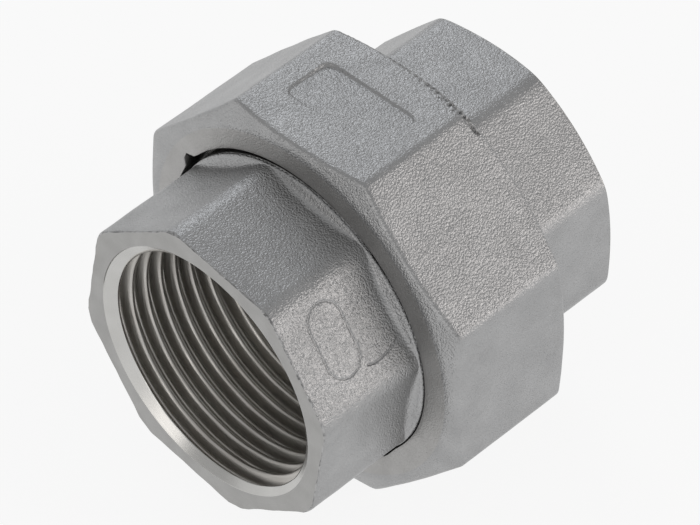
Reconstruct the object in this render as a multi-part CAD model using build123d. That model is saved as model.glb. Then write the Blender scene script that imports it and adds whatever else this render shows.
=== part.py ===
"""Pipe union with a female one-inch parallel pipe thread at each end, cast in stainless steel.

Sizes are in millimetres and angles in degrees. X runs along the bore: the tail piece's mouth
faces -X and the threaded half's mouth faces +X. The origin is on the bore's axis, midway
between the two mouths, and the nut rests on its bottom flat, which faces -Z.

Four pieces make the fitting. The threaded half carries the outside thread. The nut runs on it
and pulls the tail piece's collar up with its lip. A flat gasket, seated in the tail piece,
seals against the threaded half's face.
"""
from build123d import *
import math
import os

# The whole fitting
overall_length = 48.0
threaded_half_length = 24.0

# The pipe thread in both mouths: 11 threads to the inch, 33.249 outside and 30.291 inside
port_major_radius = 33.249 / 2
port_minor_radius = 30.291 / 2
port_depth = 17.5
port_chamfer_depth = 1.0
passage_radius = 13.5

# The eight cast flats of the tail piece and of the threaded half
flat_count = 8
tail_across_flats = 37.1
tail_ridge_radius = 19.65
tail_turn = 11.0
half_across_flats = 36.6
half_ridge_radius = 19.35
half_turn = -1.0
flat_foot_radius = 0.6

# The turned chamfers that cut the ridges at the two mouths
tail_face_radius = 19.4
tail_face_angle = 30.0
half_face_radius = 18.1
half_face_angle = 24.0

# The tail piece's neck and collar
neck_radius = 19.9
neck_proud = 0.2
collar_radius = 21.6
collar_thickness = 4.45
collar_edge = 0.5

# The gasket, and its recess in the tail piece
gasket_thickness = 2.0
gasket_inner_radius = 14.0
gasket_outer_radius = 20.0
gasket_clearance = 0.2
recess_depth = 1.0

# The nut
nut_across_flats = 49.5
nut_ridge_rounding = 1.5
nut_length = 18.4
nut_front_face_radius = 23.7
nut_front_face_angle = 20.0
nut_rear_face_radius = 24.0
nut_rear_face_angle = 24.0
lip_thickness = 3.2
lip_edge = 0.2
neck_clearance = 0.45
lip_clearance = 0.05

# The sunk panel in the nut's top flat
panel_across = 14.2
panel_along = 7.1
panel_corner = 1.2
panel_depth = 0.35

# The thread between the nut and the threaded half, left plain at its pitch radius
union_major_radius = 23.0
union_pitch = 2.0
union_thread_clearance = 0.04
union_thread_length = 9.0
union_thread_edge = 0.8
nut_mouth_widening = 0.3
nut_relief_width = 2.0
nut_relief_depth = 0.2

# Cutting solids run past the faces that they cut by this much
overrun = 5.0

# Places along X, from the mouths and the stack of pieces between them
tail_mouth_x = -overall_length / 2
half_mouth_x = overall_length / 2
seal_x = half_mouth_x - threaded_half_length
gasket_front_x = seal_x - gasket_thickness
tail_back_x = gasket_front_x + recess_depth
collar_front_x = tail_back_x - collar_thickness
lip_back_x = collar_front_x - lip_clearance
nut_front_x = lip_back_x - lip_thickness
nut_back_x = nut_front_x + nut_length
nut_middle_x = (nut_front_x + nut_back_x) / 2
neck_front_x = nut_front_x - neck_proud
neck_edge = neck_radius - tail_ridge_radius
flange_back_x = seal_x + union_thread_length

# Radii that follow from the sizes above
lip_radius = neck_radius + neck_clearance
union_pitch_radius = union_major_radius - 0.3248 * union_pitch
nut_thread_radius = union_pitch_radius + union_thread_clearance
half_thread_radius = union_pitch_radius - union_thread_clearance


def turned(*points):
    """A solid turned about the X axis from (x, radius) points."""
    return revolve(make_face(Polyline(*points, close=True)), Axis.X)


def slope(rise, angle):
    """How far along X a chamfer at this angle to the face runs while it gains this radius."""
    return rise * math.tan(math.radians(angle))


def port_cutter(mouth_x, inward):
    """The tapped bore behind one mouth, at the thread's minor diameter, with its countersink.

    inward is +1 where the bore runs towards +X, and -1 where it runs towards -X.
    """
    flare = (port_major_radius - port_minor_radius) / port_chamfer_depth
    floor = mouth_x + inward * port_depth
    return turned(
        (mouth_x - inward * overrun, 0),
        (mouth_x - inward * overrun, port_major_radius + flare * overrun),
        (mouth_x + inward * port_chamfer_depth, port_minor_radius),
        (floor, port_minor_radius),
        (floor + inward * (port_minor_radius - passage_radius), passage_radius),
        (seal_x + inward * overrun, passage_radius),
        (seal_x + inward * overrun, 0),
    )


def flat_cutters(across_flats, mouth_x, foot_x, turn):
    """Eight cutters, one for each flat, that end in a concave radius at the flat's foot."""
    inward = math.copysign(1, foot_x - mouth_x)
    apothem = across_flats / 2
    curve_x = foot_x - inward * flat_foot_radius
    outside = apothem + flat_foot_radius + overrun
    straight = Polyline(
        (foot_x, apothem + flat_foot_radius),
        (foot_x, outside),
        (mouth_x - inward * overrun, outside),
        (mouth_x - inward * overrun, apothem),
        (curve_x, apothem),
    )
    foot = TangentArc((curve_x, apothem), (foot_x, apothem + flat_foot_radius), tangent=(inward, 0))
    cutter = extrude(make_face(straight + foot), across_flats, both=True)
    return [Rot(turn + 360 / flat_count * k, 0, 0) * cutter for k in range(flat_count)]


def make_tail_piece():
    """Octagonal female end that runs into a round neck and a collar, seen at the left."""
    ridge_x = tail_mouth_x + slope(tail_ridge_radius - tail_face_radius, tail_face_angle)
    blank = turned(
        (tail_mouth_x, 0),
        (tail_mouth_x, tail_face_radius),
        (ridge_x, tail_ridge_radius),
        (neck_front_x, tail_ridge_radius),
        (neck_front_x + neck_edge, neck_radius),
        (collar_front_x, neck_radius),
        (collar_front_x, collar_radius - collar_edge),
        (collar_front_x + collar_edge, collar_radius),
        (tail_back_x - collar_edge, collar_radius),
        (tail_back_x, collar_radius - collar_edge),
        (tail_back_x, 0),
    )
    recess_radius = gasket_outer_radius + gasket_clearance
    recess = turned(
        (gasket_front_x, 0),
        (gasket_front_x, recess_radius),
        (tail_back_x + overrun, recess_radius),
        (tail_back_x + overrun, 0),
    )
    cutters = flat_cutters(tail_across_flats, tail_mouth_x, neck_front_x, tail_turn)
    return blank - cutters - port_cutter(tail_mouth_x, 1) - recess


def make_threaded_half():
    """Octagonal female end behind a flange that carries the outside thread and the seal face."""
    ridge_x = half_mouth_x - slope(half_ridge_radius - half_face_radius, half_face_angle)
    blank = turned(
        (seal_x, 0),
        (seal_x, half_thread_radius - union_thread_edge),
        (seal_x + union_thread_edge, half_thread_radius),
        (flange_back_x - union_thread_edge, half_thread_radius),
        (flange_back_x, half_thread_radius - union_thread_edge),
        (flange_back_x, half_ridge_radius),
        (ridge_x, half_ridge_radius),
        (half_mouth_x, half_face_radius),
        (half_mouth_x, 0),
    )
    cutters = flat_cutters(half_across_flats, half_mouth_x, flange_back_x, half_turn)
    return blank - cutters - port_cutter(half_mouth_x, -1)


def make_union_nut():
    """Octagonal nut with soft cast ridges, turned ends, a lip in front and a thread inside."""
    outline = RegularPolygon(nut_across_flats / 2, flat_count, major_radius=False, rotation=180 / flat_count)
    outline = fillet(outline.vertices(), nut_ridge_rounding)
    bar = extrude(Plane.YZ.offset(nut_front_x) * outline, nut_length)

    beyond = nut_across_flats / 2 / math.cos(math.pi / flat_count) + overrun
    envelope = turned(
        (nut_front_x, 0),
        (nut_front_x, nut_front_face_radius),
        (nut_front_x + slope(beyond - nut_front_face_radius, nut_front_face_angle), beyond),
        (nut_back_x - slope(beyond - nut_rear_face_radius, nut_rear_face_angle), beyond),
        (nut_back_x, nut_rear_face_radius),
        (nut_back_x, 0),
    )

    relief_radius = union_major_radius + nut_relief_depth
    mouth_radius = union_major_radius + nut_mouth_widening
    relief_end_x = lip_back_x + nut_relief_width
    countersink = mouth_radius - nut_thread_radius
    bore = turned(
        (nut_front_x - overrun, 0),
        (nut_front_x - overrun, lip_radius + lip_edge + overrun),
        (nut_front_x + lip_edge, lip_radius),
        (lip_back_x, lip_radius),
        (lip_back_x, relief_radius),
        (relief_end_x - (relief_radius - nut_thread_radius), relief_radius),
        (relief_end_x, nut_thread_radius),
        (nut_back_x - countersink, nut_thread_radius),
        (nut_back_x + overrun, mouth_radius + overrun),
        (nut_back_x + overrun, 0),
    )

    panel = RectangleRounded(panel_along, panel_across, panel_corner)
    panel_floor = Plane.XY.offset(nut_across_flats / 2 - panel_depth)
    panel_cut = Pos(nut_middle_x, 0, 0) * extrude(panel_floor * panel, panel_depth + overrun)
    return (bar & envelope) - bore - panel_cut


def make_gasket():
    """Flat sealing ring between the two halves."""
    return turned(
        (gasket_front_x, gasket_inner_radius),
        (gasket_front_x, gasket_outer_radius),
        (seal_x, gasket_outer_radius),
        (seal_x, gasket_inner_radius),
    )


pieces = {
    "tail_piece": make_tail_piece(),
    "gasket": make_gasket(),
    "union_nut": make_union_nut(),
    "threaded_half": make_threaded_half(),
}

os.makedirs("parts", exist_ok=True)
for name, piece in pieces.items():
    export_step(piece, f"parts/{name}.step")
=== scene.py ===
"""Dresses the pipe union's frame: cut threads, cast flats, turned ends, metal finishes and a studio.

Sizes are in millimetres until a mesh is made in metres. Lamps and materials are in metres from
the start. Named angles are in degrees. The bore runs along X, and angles round it turn from +Y
towards +Z.
"""
import math

import bpy
import numpy as np
from mathutils import Matrix, Vector


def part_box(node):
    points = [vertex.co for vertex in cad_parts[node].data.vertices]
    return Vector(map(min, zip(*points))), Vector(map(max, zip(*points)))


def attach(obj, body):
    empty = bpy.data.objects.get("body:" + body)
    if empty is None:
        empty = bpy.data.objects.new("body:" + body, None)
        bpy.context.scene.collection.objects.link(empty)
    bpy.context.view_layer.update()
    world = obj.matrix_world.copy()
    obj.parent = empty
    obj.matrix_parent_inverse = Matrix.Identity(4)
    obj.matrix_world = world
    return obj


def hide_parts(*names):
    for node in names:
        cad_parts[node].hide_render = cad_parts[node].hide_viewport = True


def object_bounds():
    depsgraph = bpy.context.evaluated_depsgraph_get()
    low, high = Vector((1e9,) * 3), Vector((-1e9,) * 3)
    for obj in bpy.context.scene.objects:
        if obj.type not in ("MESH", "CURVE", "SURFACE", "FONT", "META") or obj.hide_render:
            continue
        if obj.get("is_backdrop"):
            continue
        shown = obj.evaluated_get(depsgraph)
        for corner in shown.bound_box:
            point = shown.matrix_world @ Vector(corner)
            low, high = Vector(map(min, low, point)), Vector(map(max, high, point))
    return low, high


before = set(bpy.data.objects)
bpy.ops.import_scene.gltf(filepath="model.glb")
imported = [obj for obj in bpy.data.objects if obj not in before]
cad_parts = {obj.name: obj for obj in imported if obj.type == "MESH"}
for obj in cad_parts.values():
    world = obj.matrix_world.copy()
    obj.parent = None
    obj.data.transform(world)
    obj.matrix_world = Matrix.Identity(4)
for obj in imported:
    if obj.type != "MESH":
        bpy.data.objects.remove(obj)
cad_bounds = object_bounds()

MM = 0.001
FLAT_COUNT = 8
FLAT_ANGLE = 360 / FLAT_COUNT
HALF_FLAT = math.radians(FLAT_ANGLE / 2)


def span(node):
    """Lowest and highest corner of a node, in millimetres."""
    low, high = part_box(node)
    return Vector(low) / MM, Vector(high) / MM


# Places that the frame gives
tail_low, tail_high = span("tail_piece")
nut_low, nut_high = span("union_nut")
half_low, half_high = span("threaded_half")
gasket_low, gasket_high = span("gasket")
tail_mouth_x = tail_low.x
tail_back_x = tail_high.x
collar_radius = tail_high.y
nut_front_x = nut_low.x
nut_back_x = nut_high.x
nut_apothem = nut_high.y
seal_x = half_low.x
half_mouth_x = half_high.x
gasket_front_x = gasket_low.x

# Faces and chamfers meet the threads' countersinks this far inside each mouth
mouth_edge = 0.06

# The tail piece
tail_apothem = 18.55
tail_turn = 11.0
tail_rounding = 3.5
tail_face_radius = 19.5
tail_face_slope = 0.8
neck_radius = 19.9
neck_proud = 0.2
neck_edge = 0.2
collar_edge = 0.5
recess_radius = 20.2
foot_radius = 0.6
foot_lean = 0.6

# The threaded half
half_apothem = 18.3
half_turn = -1.0
half_rounding = 3.0
half_face_radius = 18.1
half_face_angle = 24.0
flange_back_x = seal_x + 9.0
flange_edge = 1.0

# The nut
nut_rounding = 1.6
nut_face_radius = 23.7
nut_face_angle = 20.0
nut_rear_radius = 24.0
nut_rear_angle = 24.0
lip_radius = 20.35
lip_thickness = 3.2
lip_clearance = 0.05
collar_front_x = nut_front_x + lip_thickness + lip_clearance
relief_radius = 23.2
relief_width = 2.0
nut_mouth_radius = 23.3

# The hole's front edge in the nut's lip: a little smaller than its bore and off its middle, with
# two nicks, each given by its angle, its width as an angle, and its depth
hole_shrink = 0.14
hole_shift = 0.27
hole_shift_angle = 15
hole_nicks = [(33, 2.6, 1.2), (231, 6.0, 0.6)]

# The pipe thread in both mouths, with its rounded crests and roots
pipe_pitch = 2.309
pipe_major = 33.249 / 2
pipe_minor = 30.291 / 2
pipe_rounding = 0.137329 * pipe_pitch
pipe_crest_flat = 0.17
pipe_flank = math.radians(27.5)
port_depth = 17.5
countersink = 1.0
run_out = 1.2
passage_radius = 13.5
tail_thread_phase = -30.0
half_thread_phase = 180.0

# The thread between the nut and the threaded half
union_pitch = 2.0
union_major = 23.0
union_middle = union_major - 0.3248 * union_pitch
union_minor = union_major - 0.5413 * union_pitch
union_flank = math.radians(30)
union_gap = 0.06

# Spacing of the rings on each kind of surface
THREAD = 0.15
FINE = 0.12
NUT_FLAT = 0.13
HIDDEN = 0.2
EDGE = 0.2
SLOPE = 0.3
PLAIN = 0.5
COARSE = 1.2

# Corners softer than this get more rings, and faces torn more than this get the pitted finish, with
# painted shade and glints
SOFT_CORNER = 0.3
TORN = 0.15

FINISHES = ["cast", "pitted", "burr", "turned", "faced", "chamfer", "thread"]


def flat_offset(angles, turn):
    """Angle from the middle of the nearest flat, in radians."""
    step = 2 * HALF_FLAT
    return (angles - math.radians(turn) + HALF_FLAT) % step - HALF_FLAT


def octagon(angles, apothem, turn, rounding):
    """Radius of an octagon with rounded ridges at each angle."""
    off = np.abs(flat_offset(angles, turn))
    centre = (apothem - rounding) / math.cos(HALF_FLAT)
    tangent = math.atan2(centre * math.sin(HALF_FLAT), apothem)
    from_ridge = HALF_FLAT - off
    inside = np.maximum(rounding**2 - (centre * np.sin(from_ridge)) ** 2, 0)
    ridge = centre * np.cos(from_ridge) + np.sqrt(inside)
    return np.where(off > tangent, ridge, apothem / np.cos(off))


def columns(turn, apothem, rounding, across):
    """Angles of the mesh's columns: a few round each ridge, and across[k] on flat k."""
    ridge_columns = 8
    centre = (apothem - rounding) * math.tan(HALF_FLAT)
    edge = math.atan2(centre, apothem)
    ridge = np.linspace(edge, 2 * HALF_FLAT - edge, ridge_columns, endpoint=False)
    found = []
    for k, count in enumerate(across):
        middle = math.radians(turn + FLAT_ANGLE * k)
        sideways = np.linspace(-centre, centre, count, endpoint=False)
        found.append(middle + np.arctan2(sideways, apothem))
        found.append(middle + ridge)
    return np.concatenate(found)


class Skin:
    """A closed skin round the bore, made of rings that share one set of angles.

    Corners are (x, radius), each a number or one value for each angle, and bands of rings join
    each corner to the next. A corner's softness is how far its small curve reaches each way.
    """

    def __init__(self, angles):
        self.angles = angles
        self.corners = []
        self.bands = []

    def corner(self, x, radius, soft=0.06):
        ones = np.ones(len(self.angles))
        self.corners.append((np.stack([x * ones, radius * ones]), soft))

    def band(self, finish, spacing=PLAIN, carve=None):
        self.bands.append((finish, spacing, carve))

    def rings(self):
        """Every ring as (x, radius), with the finish of the faces that follow it."""
        count = len(self.corners)
        points = [p for p, _ in self.corners]
        steps = [points[(i + 1) % count] - points[i] for i in range(count)]
        lengths = [np.maximum(np.hypot(*s), 1e-6) for s in steps]
        made = []
        for i in range(count):
            point, soft = self.corners[i]
            before = steps[i - 1] / lengths[i - 1]
            after = steps[i] / lengths[i]
            start = point - before * np.minimum(soft, 0.45 * lengths[i - 1])
            end = point + after * np.minimum(soft, 0.45 * lengths[i])
            finish, spacing, carve = self.bands[i]
            bend = 6 if soft > SOFT_CORNER else 3
            for t in np.linspace(0, 1, bend):
                ring = (1 - t) ** 2 * start + 2 * t * (1 - t) * point + t**2 * end
                made.append((ring, finish, carve or self.bands[i - 1][2]))
            following, next_soft = self.corners[(i + 1) % count]
            stop = following - after * np.minimum(next_soft, 0.45 * lengths[i])
            parts = max(1, round(float(np.max(np.hypot(*(stop - end)))) / spacing))
            for t in np.arange(1, parts) / parts:
                made.append(((1 - t) * end + t * stop, finish, carve))
        return made

    def build(self, name, shapes=(), torn=None):
        """Makes the mesh object. Each shape moves the points, given as x, y, z arrays.

        torn says how torn the surface is at each point, from 0 to about 1; faces torn more than TORN get
        the pitted finish, with painted shade and glints.
        """
        made = self.rings()
        finishes = [finish for _, finish, _ in made]
        x = np.array([ring[0] for ring, _, _ in made])
        radius = np.array([ring[1] for ring, _, _ in made])
        for i, (_, _, carve) in enumerate(made):
            if carve:
                radius[i] = carve(x[i], radius[i], self.angles)
        y = radius * np.cos(self.angles)
        z = radius * np.sin(self.angles)
        index = np.repeat([FINISHES.index(f) for f in finishes], len(self.angles))
        # Torn faces get the pitted finish, whose dark and light spots are painted shade and glints
        if torn:
            index[torn(x, y, z).ravel() > TORN] = FINISHES.index("pitted")
        cast = np.array([f == "cast" for f in finishes])
        touching = cast | np.roll(cast, 1)
        for shape in shapes:
            x, y, z = shape(x, y, z, touching[:, None])
        return skin_mesh(name, x, y, z, index)


def skin_mesh(name, x, y, z, index):
    """A mesh from rings of points, closed both ways, with the index of each face's finish."""
    rings, around = x.shape
    verts = np.stack([x, y, z], axis=-1).reshape(-1, 3) * MM
    ring = np.arange(rings)[:, None]
    column = np.arange(around)[None, :]
    next_ring = (ring + 1) % rings
    next_column = (column + 1) % around
    corners = [
        ring * around + column,
        ring * around + next_column,
        next_ring * around + next_column,
        next_ring * around + column,
    ]
    quads = np.stack(corners, axis=-1).reshape(-1, 4)
    mesh = bpy.data.meshes.new(name)
    mesh.from_pydata(verts.tolist(), [], quads.tolist())
    mesh.polygons.foreach_set("material_index", index.astype(np.int32))
    mesh.polygons.foreach_set("use_smooth", np.ones(len(quads), dtype=bool))
    for finish in FINISHES:
        mesh.materials.append(materials[finish])
    mesh.validate()
    mesh.update()
    piece = bpy.data.objects.new(name, mesh)
    bpy.context.scene.collection.objects.link(piece)
    return piece


def helix(x, angles, pitch, phase):
    """Distance along X from the nearest crest line of a right-hand thread."""
    turned = (angles - math.radians(phase)) / (2 * math.pi)
    return (x - pitch * turned + pitch / 2) % pitch - pitch / 2


def pipe_wall(x, angles, phase):
    """Radius of the pipe thread's wall, with flat crests towards the bore and round roots."""
    away = np.abs(helix(x, angles, pipe_pitch, phase))
    half_depth = (pipe_major - pipe_minor) / 2
    flank = (away - pipe_pitch / 4) / math.tan(pipe_flank)
    reach = pipe_rounding * math.cos(pipe_flank)
    to_root = pipe_pitch / 2 - away
    root = half_depth - pipe_rounding + np.sqrt(np.maximum(pipe_rounding**2 - to_root**2, 0))
    wall = np.where(away < pipe_crest_flat, -half_depth, np.where(to_root < reach, root, flank))
    return (pipe_major + pipe_minor) / 2 + np.maximum(wall, -half_depth)


def pipe_thread(floor_x, phase):
    """Cuts the pipe thread into a bore, and lets it run out before the bore's floor."""
    def carve(x, radius, angles):
        left = np.abs(floor_x - x)
        limit = pipe_minor + (pipe_major - pipe_minor) * np.clip(left / run_out - 0.3, 0, 1)
        return np.maximum(radius, np.minimum(pipe_wall(x, angles, phase), limit))
    return carve


def union_ridge(x, angles):
    """Height above the pitch radius of the union thread's outside form."""
    away = np.abs(helix(x, angles, union_pitch, 0))
    return (union_pitch / 4 - away) / math.tan(union_flank)


def nut_thread(x, radius, angles):
    """Cuts the union thread into the nut's bore."""
    cut = np.clip(union_ridge(x, angles), union_minor - union_middle, union_major - union_middle)
    return np.maximum(radius, union_middle + cut)


def half_thread(x, radius, angles):
    """Cuts the union thread into the threaded half's flange, with clearance all round."""
    low = union_minor - union_middle - 2 * union_gap
    high = union_major - union_middle - union_gap
    ridge = np.clip(union_ridge(x, angles) - 2 * union_gap, low, high)
    return np.minimum(radius, union_middle + ridge)


def waves(x, y, z, seed, shortest, longest):
    """Sum of nine waves that cross each other, at random directions and lengths."""
    draw = np.random.default_rng(seed)
    directions = draw.normal(size=(9, 3))
    directions /= np.linalg.norm(directions, axis=1)[:, None]
    lengths = draw.uniform(shortest, longest, 9)
    starts = draw.uniform(0, 2 * math.pi, 9)
    total = np.zeros_like(x)
    for direction, length, start in zip(directions, lengths, starts):
        along = x * direction[0] + y * direction[1] + z * direction[2]
        total += np.sin(2 * math.pi * along / length + start) * length / longest
    return total / 3


def casting_waves(seed, height=0.03):
    """Long, low unevenness of a cast surface."""
    def shape(x, y, z, cast):
        inwards = np.minimum(waves(x, y, z, seed, 2.2, 9.0) - 1, 0)
        out = np.where(cast, 1 + height * inwards / np.hypot(y, z), 1)
        return x, y * out, z * out
    return shape


def on_flat(y, z, normal_angle):
    """Sideways place on a flat and distance along its normal."""
    a = math.radians(normal_angle)
    return z * math.cos(a) - y * math.sin(a), y * math.cos(a) + z * math.sin(a)


def press_into(y, z, normal_angle, depth):
    """Moves points towards the axis along a flat's normal."""
    a = math.radians(normal_angle)
    return y - depth * math.cos(a), z - depth * math.sin(a)


def smooth(value):
    """Goes from 0 to 1 without a kink as the value does."""
    t = np.clip(value, 0, 1)
    return t * t * (3 - 2 * t)


def ragged(along, step, seed):
    """A smooth random number from 0 to 1 that changes every step along a line."""
    draw = np.random.default_rng(seed).uniform(0, 1, 256)
    place = along / step
    whole = np.floor(place).astype(int)
    part = smooth(place - whole)
    return draw[whole % 256] * (1 - part) + draw[(whole + 1) % 256] * part


def torn_and_shaded(x, y, z):
    """How torn the nut is: pits along its top flat's rear edge, most near the right corner, which also
    marks where the pitted finish gets painted shade and glints.
    """
    start_side, run_side = -4, 12
    narrow, widening, inset = 0.15, 0.5, 0.1
    side, height = on_flat(y, z, 90)
    rear_slope = math.tan(math.radians(nut_rear_angle))
    edge_x = nut_back_x - (np.hypot(y, z) - nut_rear_radius) * rear_slope
    near_corner = np.clip((side - start_side) / run_side, 0, 1)
    reach = narrow + widening * near_corner
    on_top = (height > nut_apothem - 1.5) * (x > 0)
    inside = np.exp(-(((edge_x - x - inset) / reach) ** 2)) * on_top
    pits = np.clip(0.3 + 1.6 * waves(x, y, z, 21, 0.35, 0.9), 0, 1)
    return pits * inside * (0.2 + 0.8 * near_corner)


def torn_edge(x, y, z, cast):
    """Presses the torn places in."""
    deepest = 0.3
    y, z = press_into(y, z, 90, deepest * torn_and_shaded(x, y, z))
    return x, y, z


def sunk_panel(x, y, z, cast):
    """The sunk panel in the nut's top flat, deepest along its rear and left edges."""
    middle_x, half_x, half_side, rounding, wall = 0.6, 3.5, 7.1, 1.2, 0.2
    side, height = on_flat(y, z, 90)
    over_x = np.abs(x - middle_x) - (half_x - rounding)
    over_side = np.abs(side) - (half_side - rounding)
    outside = np.hypot(np.maximum(over_x, 0), np.maximum(over_side, 0)) - rounding
    outside += np.minimum(np.maximum(over_x, over_side), 0)
    towards_rear = (x - middle_x + half_x) / (2 * half_x)
    towards_left = (half_side - side) / (2 * half_side)
    depth = 0.02 + 0.26 * np.clip(towards_rear, 0, 1) + 0.13 * np.clip(towards_left, 0, 1) ** 3
    inside = smooth(0.5 - outside / wall) * (height > nut_apothem - 1)
    y, z = press_into(y, z, 90, depth * inside)
    return x, y, z


def outlined_field(x, y, z, cast):
    """The round-ended outline cut into one flat of the tail piece."""
    normal, middle_x, middle_side = 146, -17.65, -0.7
    half_length, end_radius, line, depth = 4.7, 2.4, 0.09, 0.14
    side, height = on_flat(y, z, normal)
    along = np.maximum(np.abs(side - middle_side) - (half_length - end_radius), 0)
    from_line = np.hypot(along, x - middle_x) - end_radius
    cut = depth * np.exp(-((from_line / line) ** 2)) * (height > tail_apothem - 1)
    y, z = press_into(y, z, normal, cut)
    return x, y, z


def casting_line(x, y, z, cast):
    """The thin curved line that runs from the outlined field to the flat's corner."""
    normal, line, depth = 146, 0.1, 0.24
    route = [(-15.1, 4.1), (-14.2, 4.4), (-12.0, 4.2), (-10.8, 3.9), (-9.7, 3.4), (-8.9, 3.0)]
    side, height = on_flat(y, z, normal)
    nearest = np.full(x.shape, 9.0)
    for (x0, s0), (x1, s1) in zip(route, route[1:]):
        run, rise = x1 - x0, s1 - s0
        t = np.clip(((x - x0) * run + (side - s0) * rise) / (run**2 + rise**2), 0, 1)
        nearest = np.minimum(nearest, np.hypot(x - x0 - t * run, side - s0 - t * rise))
    fading = 0.7 - 0.1 * (x + 12)
    cut = depth * fading * np.exp(-((nearest / line) ** 2)) * (height > tail_apothem - 1)
    y, z = press_into(y, z, normal, cut)
    return x, y, z


def new_material(name):
    """An empty node material and its main shader."""
    material = bpy.data.materials.new(name)
    material.use_nodes = True
    return material, material.node_tree.nodes["Principled BSDF"]


def link(material, source, target):
    material.node_tree.links.new(source, target)


def noise(material, scale, detail=2.0):
    """A noise texture fixed to the object, at so many cells to the metre."""
    nodes = material.node_tree.nodes
    place = nodes.new("ShaderNodeTexCoord")
    texture = nodes.new("ShaderNodeTexNoise")
    texture.inputs["Scale"].default_value = scale
    texture.inputs["Detail"].default_value = detail
    link(material, place.outputs["Object"], texture.inputs["Vector"])
    return texture.outputs["Fac"]


def cells(material, scale):
    """Pebbles fixed to the object, at so many to the metre, each highest at its middle."""
    nodes = material.node_tree.nodes
    place = nodes.new("ShaderNodeTexCoord")
    texture = nodes.new("ShaderNodeTexVoronoi")
    texture.feature = "SMOOTH_F1"
    texture.inputs["Scale"].default_value = scale
    texture.inputs["Smoothness"].default_value = 0.6
    link(material, place.outputs["Object"], texture.inputs["Vector"])
    return ramp(material, texture.outputs["Distance"], 1.0, 0.0, 0.0, 1.0)


def ramp(material, source, low, high, start=0.3, end=0.7):
    """Turns a value from start to end into a number or a colour from low to high."""
    node = material.node_tree.nodes.new("ShaderNodeMapRange")
    node.inputs["From Min"].default_value = start
    node.inputs["From Max"].default_value = end
    if isinstance(low, tuple):
        node.data_type = "FLOAT_VECTOR"
        node.inputs[7].default_value = (start,) * 3
        node.inputs[8].default_value = (end,) * 3
        node.inputs[9].default_value = low
        node.inputs[10].default_value = high
        link(material, source, node.inputs["Vector"])
        return node.outputs["Vector"]
    node.inputs["To Min"].default_value = low
    node.inputs["To Max"].default_value = high
    link(material, source, node.inputs["Value"])
    return node.outputs["Result"]


def calculate(material, operation, first, second):
    """Adds or multiplies a socket and another socket or a number."""
    node = material.node_tree.nodes.new("ShaderNodeMath")
    node.operation = operation
    link(material, first, node.inputs[0])
    if isinstance(second, float):
        node.inputs[1].default_value = second
    else:
        link(material, second, node.inputs[1])
    return node.outputs["Value"]


def add_bump(material, shader, height, distance, strength=1.0, under=None):
    """Puts relief from a height on the shader, on top of relief that is already there."""
    bump = material.node_tree.nodes.new("ShaderNodeBump")
    bump.inputs["Distance"].default_value = distance
    bump.inputs["Strength"].default_value = strength
    link(material, height, bump.inputs["Height"])
    if under:
        link(material, under, bump.inputs["Normal"])
    link(material, bump.outputs["Normal"], shader.inputs["Normal"])
    return bump.outputs["Normal"]


def turning_marks(material, scale):
    """Fine rings that a lathe leaves: noise that changes along X and with the radius alone."""
    nodes = material.node_tree.nodes
    place = nodes.new("ShaderNodeTexCoord")
    split = nodes.new("ShaderNodeSeparateXYZ")
    link(material, place.outputs["Object"], split.inputs["Vector"])
    flat = nodes.new("ShaderNodeCombineXYZ")
    link(material, split.outputs["Y"], flat.inputs["Y"])
    link(material, split.outputs["Z"], flat.inputs["Z"])
    length = nodes.new("ShaderNodeVectorMath")
    length.operation = "LENGTH"
    link(material, flat.outputs["Vector"], length.inputs[0])
    total = calculate(material, "ADD", length.outputs["Value"], split.outputs["X"])
    texture = nodes.new("ShaderNodeTexNoise")
    texture.noise_dimensions = "1D"
    texture.inputs["Scale"].default_value = scale
    texture.inputs["Detail"].default_value = 2.0
    link(material, total, texture.inputs["W"])
    return texture.outputs["Fac"]


def new_metal(name, scale, detail, dark, light, start=0.3, end=0.7):
    """A metal whose colour wanders between dark and light, and its main shader."""
    material, shader = new_material(name)
    shader.inputs["Metallic"].default_value = 1.0
    colour = ramp(material, noise(material, scale, detail), dark, light, start, end)
    link(material, colour, shader.inputs["Base Color"])
    return material, shader


def make_cast():
    """Blasted cast steel: matt, with a fine sparkling grain and faint cloudy patches."""
    dark, light = (0.365, 0.366, 0.368), (0.415, 0.416, 0.418)
    material, shader = new_metal("cast_steel", 260, 3.0, dark, light)
    fine = noise(material, 5600, 1.5)
    link(material, ramp(material, fine, 0.34, 0.46), shader.inputs["Roughness"])
    swell = add_bump(material, shader, noise(material, 1300, 3.0), 0.0001, 0.4)
    pebbles = add_bump(material, shader, cells(material, 4000), 0.0001, 0.6, swell)
    add_bump(material, shader, fine, 0.00007, 1.0, pebbles)
    return material


def make_painted_spots(name, dark, light, roughness):
    """A torn edge: dark spots of painted shade in the pits and light spots of painted glints on the
    burrs, mixed at random.
    """
    material, shader = new_metal(name, 1500, 3.0, (dark,) * 3, (light,) * 3, 0.4, 0.6)
    shader.inputs["Roughness"].default_value = roughness
    add_bump(material, shader, noise(material, 2400, 3.0), 0.0003, 0.8)
    return material


def make_turned():
    """Faces and chamfers turned on a lathe."""
    dark, light = (0.345, 0.342, 0.334), (0.395, 0.392, 0.384)
    material, shader = new_metal("turned_steel", 330, 3.0, dark, light)
    marks = turning_marks(material, 9000)
    link(material, ramp(material, marks, 0.30, 0.42), shader.inputs["Roughness"])
    rings = add_bump(material, shader, marks, 0.000012, 0.5)
    add_bump(material, shader, noise(material, 3600, 2.0), 0.00006, 0.5, rings)
    return material


def make_faced():
    """The nut's front face, turned in part, with the cast grain still in it."""
    dark, light = (0.39, 0.385, 0.378), (0.45, 0.445, 0.438)
    material, shader = new_metal("faced_steel", 330, 3.0, dark, light)
    fine = noise(material, 4800, 2.0)
    link(material, ramp(material, fine, 0.42, 0.52), shader.inputs["Roughness"])
    add_bump(material, shader, fine, 0.00008, 0.8)
    return material


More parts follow.
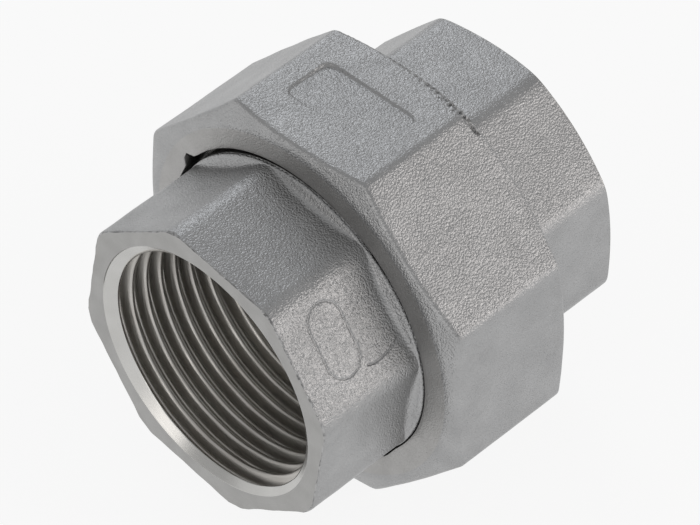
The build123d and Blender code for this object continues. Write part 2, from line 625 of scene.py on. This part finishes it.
def make_chamfer():
    """The countersink of each mouth, cut last: clean and bright."""
    dark, light = (0.50, 0.495, 0.48), (0.55, 0.545, 0.53)
    material, shader = new_metal("bright_chamfer", 250, 2.0, dark, light)
    link(material, ramp(material, turning_marks(material, 14000), 0.22, 0.28), shader.inputs["Roughness"])
    return material


def make_thread():
    """Cut threads: bright, smooth and slightly warm metal, with fine marks along the cut."""
    dark, light = (0.49, 0.47, 0.44), (0.57, 0.555, 0.525)
    material, shader = new_metal("cut_thread", 200, 2.0, dark, light)
    marks = turning_marks(material, 9000)
    link(material, ramp(material, marks, 0.30, 0.40), shader.inputs["Roughness"])
    return material


def make_gasket_material():
    """White sealing ring, slightly waxy."""
    material, shader = new_material("gasket_white")
    patches = noise(material, 400, 2.0)
    colour = ramp(material, patches, (0.80, 0.80, 0.78), (0.88, 0.88, 0.86))
    link(material, colour, shader.inputs["Base Color"])
    shader.inputs["Roughness"].default_value = 0.45
    shader.inputs["Subsurface Weight"].default_value = 0.1
    shader.inputs["Subsurface Scale"].default_value = 0.001
    add_bump(material, shader, turning_marks(material, 6000), 0.00001, 0.4)
    return material


def port(skin, mouth_x, inward, phase):
    """The tapped bore of one end, walked from the passage out to the mouth.

    inward is +1 where the bore runs towards +X, and -1 where it runs towards -X.
    """
    floor_x = mouth_x + inward * port_depth
    thread = pipe_thread(floor_x, phase)
    skin.corner(floor_x + inward * (pipe_minor - passage_radius), passage_radius, 0.2)
    skin.band("turned")
    skin.corner(floor_x, pipe_minor, 0.1)
    skin.band("thread", THREAD, thread)
    skin.corner(mouth_x + inward * countersink, pipe_minor, 0.03)
    skin.band("chamfer", FINE, thread)
    skin.corner(mouth_x + inward * mouth_edge, pipe_major, 0.02)


def make_tail_piece():
    """The left end, with the most columns on the flat that has the outlined field."""
    across = [10, 14, 36, 128, 12, 10, 10, 10]
    angles = columns(tail_turn, tail_apothem, tail_rounding, across)
    flats = octagon(angles, tail_apothem, tail_turn, tail_rounding)
    neck_front_x = nut_front_x - neck_proud
    burr = 0.06 * ragged(angles * tail_apothem, 0.9, 5)
    wear = 0.04 + 0.16 * ragged(angles * tail_apothem, 0.7, 4)
    face = np.minimum(flats - wear, tail_face_radius)
    edge_x = tail_mouth_x + mouth_edge + wear + (flats - wear - face) * tail_face_slope
    skin = Skin(angles)
    port(skin, tail_mouth_x, 1, tail_thread_phase)
    skin.band("turned")
    skin.corner(tail_mouth_x + mouth_edge, face - 0.12, 0.04)
    skin.band("turned", EDGE)
    skin.corner(tail_mouth_x + mouth_edge - burr, face, 0.02)
    # The burr band's dark and light spots are painted burr shadow and painted glints
    skin.band("burr", EDGE)
    skin.corner(edge_x, flats, 0.06)
    skin.band("cast", FINE)
    lean = foot_lean * (neck_radius - flats) / (neck_radius - tail_apothem)
    skin.corner(neck_front_x - lean, flats, foot_radius)
    skin.band("cast", SLOPE)
    skin.corner(neck_front_x, neck_radius, neck_edge)
    skin.band("cast")
    skin.corner(neck_front_x + 2 * neck_edge, neck_radius, 0.03)
    skin.band("turned")
    skin.corner(collar_front_x, neck_radius, 0.15)
    skin.band("turned")
    skin.corner(collar_front_x, collar_radius - collar_edge)
    skin.band("turned")
    skin.corner(collar_front_x + collar_edge, collar_radius)
    skin.band("turned")
    skin.corner(tail_back_x - collar_edge, collar_radius)
    skin.band("turned")
    skin.corner(tail_back_x, collar_radius - collar_edge)
    skin.band("turned")
    skin.corner(tail_back_x, recess_radius)
    skin.band("turned")
    skin.corner(gasket_front_x, recess_radius, 0.1)
    skin.band("turned")
    skin.corner(gasket_front_x, passage_radius, 0.2)
    skin.band("cast", COARSE)
    shapes = [casting_waves(3), outlined_field, casting_line]
    return skin.build("tail_piece_cut", shapes)


def make_threaded_half():
    """The right end, with the flange that the nut runs on and the face that seals."""
    angles = columns(half_turn, half_apothem, half_rounding, [18] * FLAT_COUNT)
    flats = octagon(angles, half_apothem, half_turn, half_rounding)
    slope = math.tan(math.radians(half_face_angle))
    skin = Skin(angles)
    skin.corner(seal_x, passage_radius, 0.2)
    skin.band("turned")
    skin.corner(seal_x, union_minor - flange_edge / 2)
    skin.band("turned", EDGE, half_thread)
    skin.corner(seal_x + flange_edge * 1.3, union_major, 0.05)
    skin.band("thread", HIDDEN, half_thread)
    skin.corner(flange_back_x - flange_edge, union_major, 0.05)
    skin.band("turned", EDGE, half_thread)
    skin.corner(flange_back_x, union_minor - flange_edge / 2, 0.1)
    skin.band("turned")
    skin.corner(flange_back_x, flats, foot_radius)
    skin.band("cast", 0.35)
    skin.corner(half_mouth_x - (flats - half_face_radius) * slope, flats, 0.1)
    skin.band("turned", SLOPE)
    skin.corner(half_mouth_x, half_face_radius, 0.06)
    skin.band("turned")
    backwards = Skin(angles)
    port(backwards, half_mouth_x, -1, half_thread_phase)
    for i in reversed(range(len(backwards.corners))):
        skin.corners.append(backwards.corners[i])
        if i:
            skin.bands.append(backwards.bands[i - 1])
    skin.band("cast", COARSE)
    return skin.build("threaded_half_cut", [casting_waves(11)])


def lip_edge_radius(angles):
    """Radius of the hole's front edge in the nut's lip at each angle."""
    edge = lip_radius - hole_shrink + hole_shift * np.cos(angles - math.radians(hole_shift_angle))
    for at, width, depth in hole_nicks:
        off = (np.degrees(angles) - at + 180) % 360 - 180
        edge += depth * np.exp(-((off / width) ** 2))
    return edge


def make_union_nut():
    """The nut, with the most columns on the top flat, which has the sunk panel."""
    across = [16, 16, 136, 16, 16, 16, 16, 16]
    angles = columns(0, nut_apothem, nut_rounding, across)
    flats = octagon(angles, nut_apothem, 0, nut_rounding)
    front_slope = math.tan(math.radians(nut_face_angle))
    rear_slope = math.tan(math.radians(nut_rear_angle))
    lip_back_x = nut_front_x + lip_thickness
    relief_end_x = lip_back_x + relief_width
    edge = lip_edge_radius(angles)
    skin = Skin(angles)
    skin.corner(nut_front_x, edge + 0.1, 0.05)
    skin.band("faced")
    skin.corner(nut_front_x, nut_face_radius, 0.5)
    skin.band("cast", SLOPE)
    skin.corner(nut_front_x + (flats - nut_face_radius) * front_slope, flats, 0.5)
    skin.band("cast", NUT_FLAT)
    skin.corner(nut_back_x - (flats - nut_rear_radius) * rear_slope, flats, 0.35)
    skin.band("cast", SLOPE)
    skin.corner(nut_back_x, nut_rear_radius, 0.1)
    skin.band("turned")
    skin.corner(nut_back_x, nut_mouth_radius)
    skin.band("turned", EDGE, nut_thread)
    skin.corner(nut_back_x - (nut_mouth_radius - union_minor), union_minor, 0.05)
    skin.band("thread", HIDDEN, nut_thread)
    skin.corner(relief_end_x, union_minor, 0.05)
    skin.band("turned", EDGE, nut_thread)
    skin.corner(relief_end_x - (relief_radius - union_minor), relief_radius, 0.1)
    skin.band("turned")
    skin.corner(lip_back_x, relief_radius, 0.2)
    skin.band("turned")
    skin.corner(lip_back_x, lip_radius)
    skin.band("turned")
    skin.corner(nut_front_x + 0.6, lip_radius + (edge - lip_radius) * 0.8, 0.1)
    skin.band("turned", EDGE)
    return skin.build("union_nut_cut", [casting_waves(7, 0.04), sunk_panel, torn_edge], torn_and_shaded)


def make_floor():
    """A pale floor that stays white to the camera and in reflections, and keeps a soft shadow."""
    half_side = 6.0
    gap = 0.00002
    whiteness = 0.88
    mesh = bpy.data.meshes.new("floor")
    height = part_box("union_nut")[0][2] - gap
    corners = [(-1, -1), (1, -1), (1, 1), (-1, 1)]
    verts = [(x * half_side, y * half_side, height) for x, y in corners]
    mesh.from_pydata(verts, [], [(0, 1, 2, 3)])
    floor = bpy.data.objects.new("floor", mesh)
    bpy.context.scene.collection.objects.link(floor)
    material, shader = new_material("floor_white")
    nodes = material.node_tree.nodes
    shader.inputs["Base Color"].default_value = (0.9, 0.9, 0.9, 1)
    shader.inputs["Roughness"].default_value = 1.0
    shader.inputs["Specular IOR Level"].default_value = 0.0
    white = nodes.new("ShaderNodeEmission")
    white.inputs["Strength"].default_value = 1.0
    mix = nodes.new("ShaderNodeMixShader")
    path = nodes.new("ShaderNodeLightPath")
    seen = calculate(material, "ADD", path.outputs["Is Camera Ray"], path.outputs["Is Glossy Ray"])
    seen = calculate(material, "ADD", seen, path.outputs["Is Transmission Ray"])
    link(material, calculate(material, "MULTIPLY", seen, whiteness), mix.inputs["Fac"])
    link(material, shader.outputs["BSDF"], mix.inputs[1])
    link(material, white.outputs["Emission"], mix.inputs[2])
    link(material, mix.outputs["Shader"], nodes["Material Output"].inputs["Surface"])
    mesh.materials.append(material)
    floor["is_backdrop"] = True


def direction(azimuth, elevation):
    """Unit vector towards a place round the object. Azimuth 0 is -Y and 90 is +X."""
    a, e = math.radians(azimuth), math.radians(elevation)
    return Vector((math.sin(a) * math.cos(e), -math.cos(a) * math.cos(e), math.sin(e)))


def add_lamp(name, azimuth, elevation, size, watts, colour):
    """A soft lamp that faces the object, with its width and height in metres."""
    distance = 0.5
    data = bpy.data.lights.new(name, "AREA")
    data.shape = "RECTANGLE"
    data.size, data.size_y = size
    data.energy = watts
    data.color = colour
    lamp = bpy.data.objects.new(name, data)
    towards = direction(azimuth, elevation)
    lamp.location = towards * distance
    lamp.rotation_mode = "QUATERNION"
    lamp.rotation_quaternion = towards.to_track_quat("Z", "Y")
    bpy.context.scene.collection.objects.link(lamp)


def make_lights():
    """An even pale world, and three soft lamps that give the flats their shades."""
    world = bpy.data.worlds.new("studio")
    bpy.context.scene.world = world
    world.use_nodes = True
    background = world.node_tree.nodes["Background"]
    background.inputs["Color"].default_value = (1.0, 1.0, 1.0, 1)
    background.inputs["Strength"].default_value = 0.5
    add_lamp("back_lamp", 146, 37, (0.22, 0.22), 0.3, (0.92, 0.955, 1.0))
    add_lamp("right_lamp", 32, 16, (0.3, 0.18), 0.47, (1.0, 0.945, 0.91))
    add_lamp("left_lamp", -84, 6, (0.36, 0.11), 0.21, (1.0, 0.965, 0.93))


# The camera's place: the direction it looks from, its roll, its distance, and how far its aim is
# off the nut's middle
camera_azimuth = -43.805
camera_elevation = 44.518
camera_roll = -2.0512
camera_distance = 691.9
camera_aim_right = -0.678
camera_aim_up = -0.048
camera_lens = 308.57
sensor_width = 36.0


def make_camera():
    """The camera of the photograph, fitted to the object's corners and circles."""
    data = bpy.data.cameras.new("camera")
    data.lens = camera_lens
    data.sensor_width = sensor_width
    data.clip_start = 0.01
    data.clip_end = 20
    back = direction(camera_azimuth, camera_elevation)
    a = math.radians(camera_azimuth)
    level = Vector((math.cos(a), math.sin(a), 0))
    upright = back.cross(level)
    roll = math.radians(camera_roll)
    right = level * math.cos(roll) + upright * math.sin(roll)
    up = upright * math.cos(roll) - level * math.sin(roll)
    middle = Vector(((nut_front_x + nut_back_x) / 2, 0, 0))
    place = middle + back * camera_distance + right * camera_aim_right + up * camera_aim_up
    camera = bpy.data.objects.new("camera", data)
    bpy.context.scene.collection.objects.link(camera)
    camera.matrix_world = Matrix.Translation(place * MM) @ Matrix((right, up, back)).transposed().to_4x4()
    bpy.context.scene.camera = camera


materials = {
    "cast": make_cast(),
    # The pitted and burr finishes paint shade into pits and glints onto burrs as dark and light spots in
    # their colour
    "pitted": make_painted_spots("pitted_steel_painted_shade_glint", 0.16, 0.5, 0.45),
    "burr": make_painted_spots("burred_steel_painted_shade_glint", 0.22, 0.45, 0.4),
    "turned": make_turned(),
    "faced": make_faced(),
    "chamfer": make_chamfer(),
    "thread": make_thread(),
}
make_camera()

# The pieces that stand for the frame's nodes, and the body that each rides on
for made, body, node in (
    (make_threaded_half(), "half", "threaded_half"),
    (make_tail_piece(), "tail", "tail_piece"),
    (make_union_nut(), "nut", "union_nut"),
):
    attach(made, body)
    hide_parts(node)

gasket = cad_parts["gasket"]
gasket_material = make_gasket_material()
for material_slot in gasket.material_slots:
    material_slot.material = gasket_material

make_floor()
make_lights()
bpy.context.scene.view_settings.view_transform = "Standard"

visual_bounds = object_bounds()
boxes = {"cad": cad_bounds, "visual": visual_bounds}
{k: [list(corner) for corner in box] for k, box in boxes.items()}
